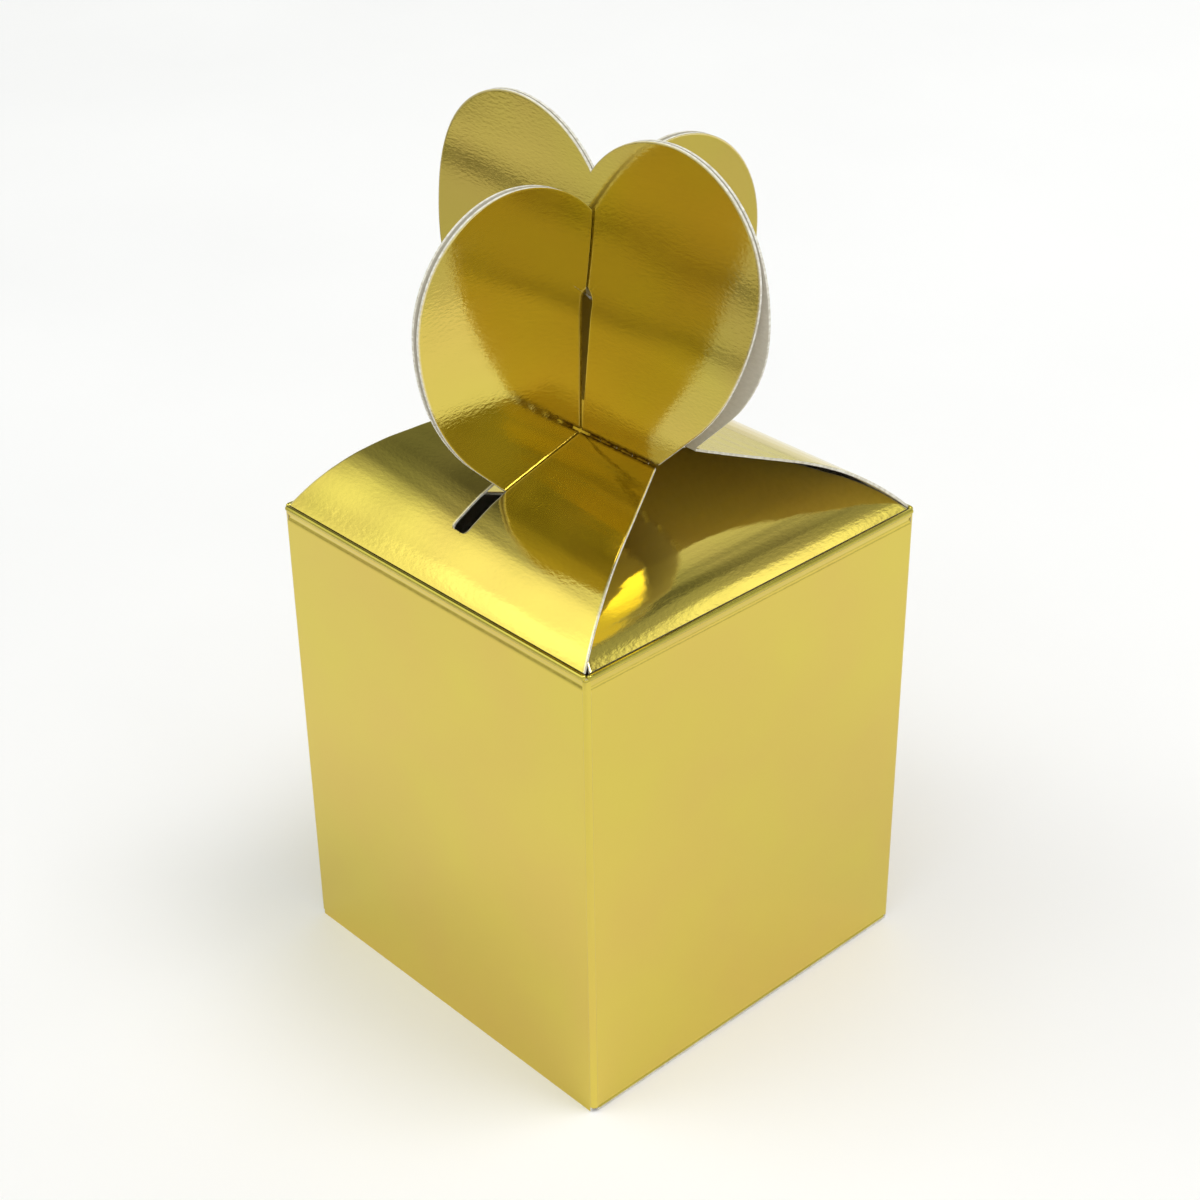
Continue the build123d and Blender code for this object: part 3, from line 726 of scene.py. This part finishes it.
# Dust flaps: two small wings on fine scores at the feet of the side walls, folded in above the bottom panel.
# One long edge is cut square and the other at 45 degrees, with rounded inner corners.
DUST_ROUND = 0.004
DUST_COLUMNS = 40
for side, mirror in (("right", 1), ("left", -1)):
    low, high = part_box(f"{side}_dust_crease")
    height, half = (low.z + high.z) / 2, high.y
    bar = bead_surface(side, HINGE, height, FOLD_RADIUS, -half, half, 0)
    bead = score_bead(f"{side}_dust_score", [bar], INTO_THE_BOX - pi / 2, score_shade_foil)
    put_in_place(bead, "carton", f"{side}_dust_crease")

    low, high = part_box(f"{side}_dust_flap")
    reach = HINGE - min(abs(low.x), abs(high.x))
    turn_in = np.linspace(0, pi / 2, 14)
    inward = np.concatenate([
        np.linspace(HEART_FOOT, reach - DUST_ROUND, 40)[:-1],
        reach - DUST_ROUND + DUST_ROUND * np.sin(turn_in),
    ])
    into_round = np.clip(inward - reach + DUST_ROUND, 0, DUST_ROUND)
    square = low.y + DUST_ROUND - np.sqrt(DUST_ROUND**2 - into_round**2)
    round_middle = high.y - (reach - DUST_ROUND) - DUST_ROUND / cos(pi / 4)
    past_tangent = into_round > DUST_ROUND * sin(pi / 4)
    slanted = np.where(past_tangent, round_middle + np.sqrt(DUST_ROUND**2 - into_round**2), high.y - inward)
    share = np.linspace(0, 1, DUST_COLUMNS)[::-mirror]
    place = square[:, None] + share * (slanted - square)[:, None]
    inward = np.repeat(inward[:, None], DUST_COLUMNS, axis=1)
    points = np.dstack([mirror * (HINGE - inward), place, np.full_like(place, height)])
    dust = card_sheet(f"{side}_dust_flap_card", points, np.dstack([place, inward]))
    put_in_place(dust, f"{side}_dust", f"{side}_dust_flap")

# Studio: a wide pale floor with painted shade for a stretch in front of the box, one soft light overhead,
# two sheets of painted shade on the floor that only mirrors show, and a pale surround with soft glows and
# shades, darker above.
FLOOR_SIZE = 40.0
FLOOR_MATT = 0.9
FLOOR_SPECULAR = 0.1
FLOOR_PALE = (0.972, 0.944, 0.975, 1)
# painted shade: the floor's colour for a stretch in front of the box
FLOOR_SHADE = (0.63, 0.612, 0.63, 1)
SPECK_SCALE = 9.0
SPECK_SHARE = 0.97  # share of the tone that is left in the floor's darker specks
SHADE_FROM = 0.11  # painted shade on the floor starts this far in front of the middle of the box
SHADE_TO = 0.27
SHADE_FADE_FROM = 0.45  # and fades out again beyond here
SHADE_FADE_TO = 2.6


def combined(tree, operation, first, second):
    """Sum, product or other combination of two values."""
    result = add_node(tree, "ShaderNodeMath")
    result.operation = operation
    tree.links.new(first, result.inputs[0])
    tree.links.new(second, result.inputs[1])
    return result.outputs["Value"]


def stage_sheet(name, corners, faces, finish):
    """Flat sheet of the studio, which is no part of the box."""
    mesh = bpy.data.meshes.new(name)
    mesh.from_pydata(corners, [], faces)
    mesh.materials.append(finish)
    sheet = bpy.data.objects.new(name, mesh)
    bpy.context.scene.collection.objects.link(sheet)
    return sheet


pale, tree, shader, place = new_finish("pale_floor_painted_shade", FLOOR_MATT, 0.0, "Object")
shader.inputs["Specular IOR Level"].default_value = FLOOR_SPECULAR
speck = add_node(tree, "ShaderNodeTexNoise", Scale=SPECK_SCALE, Detail=4.0)
tree.links.new(place, speck.inputs["Vector"])
axes = add_node(tree, "ShaderNodeSeparateXYZ")
tree.links.new(place, axes.inputs["Vector"])
shade_tone, pale_tone = TONE_RANGE
# painted shade: the floor turns to the shade colour in front of the box and back to pale further out
shade_ahead = ranged(tree, axes.outputs["Y"], (-SHADE_FROM, -SHADE_TO), (pale_tone, shade_tone), smooth=True)
shade_fading = ranged(tree, axes.outputs["Y"], (-SHADE_FADE_FROM, -SHADE_FADE_TO), (0.0, pale_tone - shade_tone), smooth=True)
specked = ranged(tree, speck.outputs["Fac"], TONE_RANGE, (SPECK_SHARE, 1.0))
tone = combined(tree, "MULTIPLY", combined(tree, "ADD", shade_ahead, shade_fading), specked)
tree.links.new(two_tone(tree, tone, FLOOR_SHADE, FLOOR_PALE), shader.inputs["Base Color"])
half = FLOOR_SIZE / 2
floor_corners = [(-half, -half, 0), (half, -half, 0), (half, half, 0), (-half, half, 0)]
stage_sheet("floor", floor_corners, [(0, 1, 2, 3)], pale)

LIGHT_AZIMUTH = radians(125)  # from straight in front, turning to the right
LIGHT_ELEVATION = radians(68)
LIGHT_DISTANCE = 2.0
LIGHT_SIZE = 0.85
LIGHT_BRIGHTNESS = 6.4  # 1 is white


def direction_to(azimuth, elevation):
    """Unit vector towards an azimuth, counted from the front to the right, and an elevation."""
    return np.array([sin(azimuth) * cos(elevation), -cos(azimuth) * cos(elevation), sin(elevation)])


def looking_along(sideways, upright, away, place):
    """World matrix of a light or camera at that place, from its own X, Y and Z axes; it looks along -Z."""
    axes = np.eye(4)
    axes[:3, 0], axes[:3, 1], axes[:3, 2], axes[:3, 3] = sideways, upright, away, place
    return Matrix(axes.tolist())


lamp = bpy.data.lights.new("overhead_light", "AREA")
lamp.shape = "SQUARE"
lamp.size = LIGHT_SIZE
lamp.energy = LIGHT_BRIGHTNESS * pi * LIGHT_SIZE**2
away = direction_to(LIGHT_AZIMUTH, LIGHT_ELEVATION)
sideways = np.array([cos(LIGHT_AZIMUTH), sin(LIGHT_AZIMUTH), 0])
light_place = away * LIGHT_DISTANCE + np.array([0, 0, WALL_TOP])
overhead = bpy.data.objects.new("overhead_light", lamp)
overhead.matrix_world = looking_along(sideways, np.cross(away, sideways), away, light_place)
bpy.context.scene.collection.objects.link(overhead)

RING_STEPS = 60
RING_LIFT = 0.0006
RING_MATT = 0.95
MOTTLE_SCALE = 30.0


def reflected_shade_sheet(name, near, far, turn_from, turn_to, deep, blend):
    """Part of a ring of painted shade on the floor, between two radii and azimuths, that only mirrors show.
    """
    radius, angle = np.meshgrid([near, far], np.linspace(turn_from, turn_to, RING_STEPS))
    ring = np.dstack([radius * np.sin(angle), -radius * np.cos(angle), np.full_like(angle, RING_LIFT)])
    first = 2 * np.arange(RING_STEPS - 1)
    faces = np.stack([first, first + 1, first + 3, first + 2], axis=1)
    finish, tree, shader, place = new_finish(name, RING_MATT, 0.0, "Object")
    mottle = add_node(tree, "ShaderNodeTexNoise", Scale=MOTTLE_SCALE, Detail=3.0)
    tree.links.new(place, mottle.inputs["Vector"])
    tree.links.new(two_tone(tree, mottle.outputs["Fac"], deep, blend), shader.inputs["Base Color"])
    card = stage_sheet(name, ring.reshape(-1, 3).tolist(), faces.tolist(), finish)
    card.visible_camera = False
    card.visible_diffuse = False
    card.visible_shadow = False


# Painted shade seen only in the mirrors: a dark ring in front of the box and a grey patch behind it on the
# right.
reflected_shade_sheet(
    "dark_shade_ring", near=0.415, far=0.485, turn_from=radians(-85), turn_to=radians(75),
    deep=(0.17, 0.16, 0.14, 1), blend=(0.27, 0.26, 0.23, 1),
)
reflected_shade_sheet(
    "grey_shade_patch", near=0.25, far=0.46, turn_from=radians(112), turn_to=radians(165),
    deep=(0.58, 0.57, 0.56, 1), blend=(0.70, 0.69, 0.68, 1),
)

HORIZON = 0.89  # brightness of the surround all round, high up and overhead; 1 is white
CEILING = 0.42
OVERHEAD = 0.30
HORIZON_TO = 0.66  # sines of the elevations between which the brightness changes
CEILING_FROM = 0.85
OVERHEAD_FROM = 0.94
DARKEST = 0.12  # the surround is nowhere darker than this
SURROUND_TINT = (0.955, 1.0, 0.94, 1)
GLOWS = (  # azimuth, elevation and spread in degrees, and the brightness added there
    (-50, 46, 19, 0.75),
    (-46, 24, 10, 0.60),
    (-50, 33, 6, 0.7),
    (-5, 68, 32, 1.0),
    (-30, 55, 13, 1.9),
    (159, 47.5, 6, 1.4),
    (-104, 38, 27, -0.67),
    (155, 44, 36, -0.43),
    (102, 42, 19, -0.40),
    (168, 52, 6.5, 0.39),
)
surround = bpy.data.worlds.new("surround")
surround.use_nodes = True
tree = surround.node_tree
direction = add_node(tree, "ShaderNodeTexCoord").outputs["Generated"]
height_of = add_node(tree, "ShaderNodeSeparateXYZ")
tree.links.new(direction, height_of.inputs["Vector"])
sine_up = height_of.outputs["Z"]
brightness = ranged(tree, sine_up, (HORIZON_TO, CEILING_FROM), (HORIZON, CEILING), smooth=True)
darker = ranged(tree, sine_up, (CEILING_FROM, OVERHEAD_FROM), (0.0, OVERHEAD - CEILING), smooth=True)
brightness = combined(tree, "ADD", brightness, darker)
for azimuth, elevation, spread, added in GLOWS:
    towards = add_node(tree, "ShaderNodeVectorMath")
    towards.operation = "DOT_PRODUCT"
    towards.inputs[1].default_value = direction_to(radians(azimuth), radians(elevation)).tolist()
    tree.links.new(direction, towards.inputs[0])
    glow = ranged(tree, towards.outputs["Value"], (cos(radians(spread)), 1.0), (0.0, added), smooth=True)
    brightness = combined(tree, "ADD", brightness, glow)
limit = add_node(tree, "ShaderNodeMath")
limit.operation = "MAXIMUM"
limit.inputs[1].default_value = DARKEST
tree.links.new(brightness, limit.inputs[0])
tree.nodes["Background"].inputs["Color"].default_value = SURROUND_TINT
tree.links.new(limit.outputs["Value"], tree.nodes["Background"].inputs["Strength"])
bpy.context.scene.world = surround

# Camera at the photograph's viewing angle: it looks down on the front right corner, with a slight roll.
# Its place and focal length were fitted to the corners of the box.
CAMERA_AZIMUTH = radians(47.218)
CAMERA_ELEVATION = radians(31.010)
CAMERA_ROLL = radians(-0.795)
CAMERA_PLACE = (0.213948, -0.197838, 0.234620)
FOCAL_PIXELS = 2281.7
IMAGE_PIXELS = 1200
camera_data = bpy.data.cameras.new("camera")
camera_data.sensor_width = 36.0
camera_data.lens = camera_data.sensor_width * FOCAL_PIXELS / IMAGE_PIXELS
camera_data.clip_start = 0.01
away = direction_to(CAMERA_AZIMUTH, CAMERA_ELEVATION)
level = np.array([cos(CAMERA_AZIMUTH), sin(CAMERA_AZIMUTH), 0])
plumb = np.cross(away, level)
sideways = level * cos(CAMERA_ROLL) + plumb * sin(CAMERA_ROLL)
upright = plumb * cos(CAMERA_ROLL) - level * sin(CAMERA_ROLL)
camera = bpy.data.objects.new("camera", camera_data)
camera.matrix_world = looking_along(sideways, upright, away, CAMERA_PLACE)
bpy.context.scene.collection.objects.link(camera)
bpy.context.scene.camera = camera
bpy.context.scene.view_settings.view_transform = "Standard"
